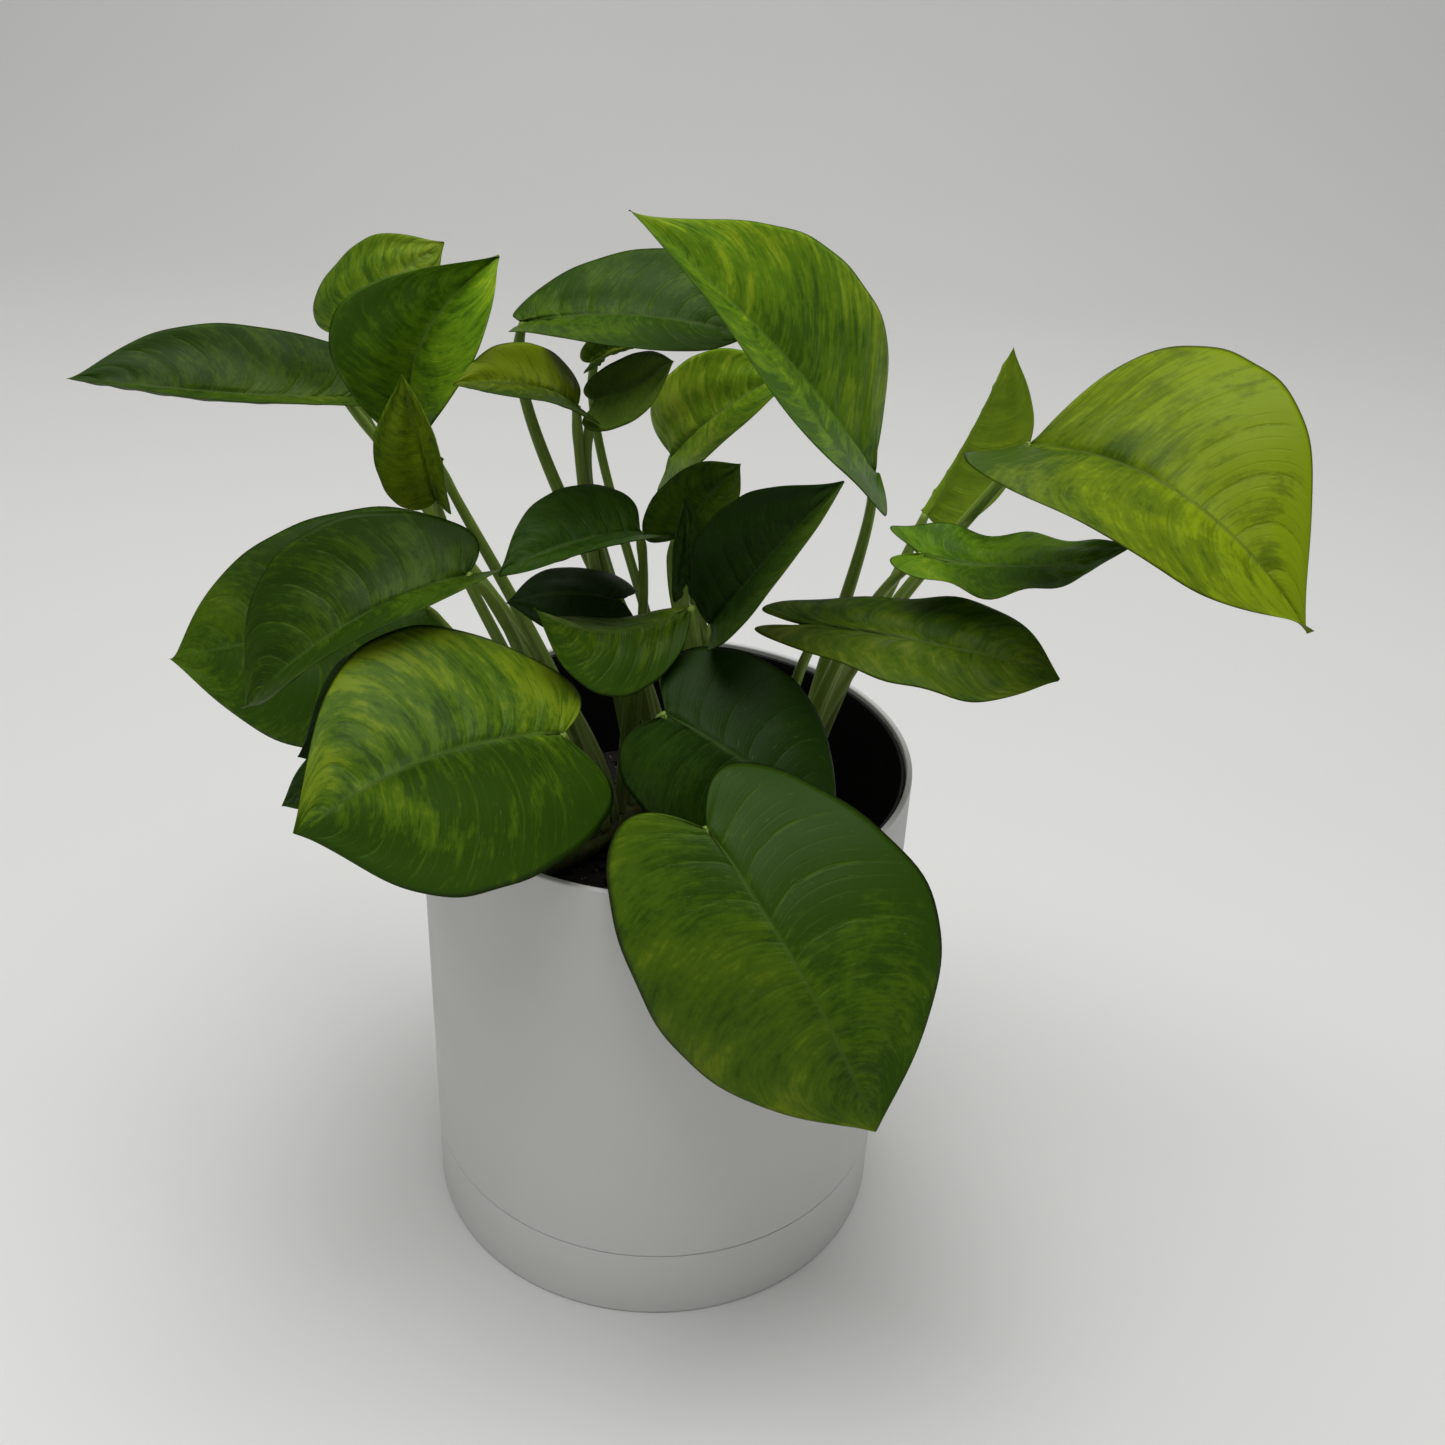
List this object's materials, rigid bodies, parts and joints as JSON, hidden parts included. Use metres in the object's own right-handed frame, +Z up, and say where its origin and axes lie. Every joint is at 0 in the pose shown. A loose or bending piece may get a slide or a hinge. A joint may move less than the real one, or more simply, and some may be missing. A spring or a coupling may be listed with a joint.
{
  "type": "potted pothos plant",
  "caption": "Pothos plant with heart-shaped variegated leaves on upright stalks, standing in soil in a black grow pot inside a white cylinder pot on a flush saucer.",
  "frame": {"origin": "centre of the saucer's underside, on the surface that the pot stands on", "axes": "+Z up; the front of the plant, with the leaf that hangs over the rim, faces -Y; +X is to the right seen from the front"},
  "size_m": [0.3262, 0.1853, 0.3282],
  "materials": {
    "pot_white": "smooth matte white with fine satin highlights",
    "grow_pot_black": "thin black plastic with a dull sheen",
    "soil": "dark crumbly potting soil",
    "vine": "green-brown fleshy stem with dry sheaths",
    "stalk": "smooth fresh green stalk with paler sheath edges",
    "leaf_green": "waxy mid green leaf with yellow-green streaks",
    "leaf_dark": "waxy dark green leaf",
    "leaf_pale": "waxy leaf streaked green and yellow-green",
    "leaf_lime": "waxy lime-yellow leaf with green patches"
  },
  "bodies": {
    "root": {"saucer": "pot_white", "pot": "pot_white", "grow_pot": "grow_pot_black", "soil": "soil", "vine_left": "vine", "vine_right": "vine", "stalk_front_right": "stalk", "leaf_front_right": "leaf_green", "stalk_front_left": "stalk", "leaf_front_left": "leaf_green", "stalk_front_middle": "stalk", "leaf_front_middle": "leaf_dark", "stalk_low_left_wet": "stalk", "leaf_low_left_wet": "leaf_green", "stalk_left_over": "stalk", "leaf_left_over": "leaf_green", "stalk_left_under": "stalk", "leaf_left_under": "leaf_dark", "stalk_left_torn": "stalk", "leaf_left_torn": "leaf_dark", "stalk_right_lime": "stalk", "leaf_right_lime": "leaf_lime", "stalk_right_upright": "stalk", "leaf_right_upright": "leaf_lime", "stalk_right_wavy": "stalk", "leaf_right_wavy": "leaf_green", "stalk_right_low": "stalk", "leaf_right_low": "leaf_pale", "stalk_centre_dark": "stalk", "leaf_centre_dark": "leaf_dark", "stalk_centre_folded": "stalk", "leaf_centre_folded": "leaf_dark", "stalk_centre_cupped": "stalk", "leaf_centre_cupped": "leaf_green", "stalk_centre_left": "stalk", "leaf_centre_left": "leaf_dark", "stalk_middle_dark": "stalk", "leaf_middle_dark": "leaf_dark", "stalk_middle_edge": "stalk", "leaf_middle_edge": "leaf_pale", "stalk_top_large": "stalk", "leaf_top_large": "leaf_green", "stalk_top_back": "stalk", "leaf_top_back": "leaf_green", "stalk_top_yellow": "stalk", "leaf_top_yellow": "leaf_lime", "stalk_top_shaded": "stalk", "leaf_top_shaded": "leaf_green", "stalk_top_curled": "stalk", "leaf_top_curled": "leaf_pale", "stalk_upper_left": "stalk", "leaf_upper_left": "leaf_green", "stalk_upper_left_back": "stalk", "leaf_upper_left_back": "leaf_pale", "stalk_far_left": "stalk", "leaf_far_left": "leaf_green", "stalk_left_rolled": "stalk", "leaf_left_rolled": "leaf_lime", "stalk_centre_pale": "stalk", "leaf_centre_pale": "leaf_pale"}
  },
  "joints": []
}
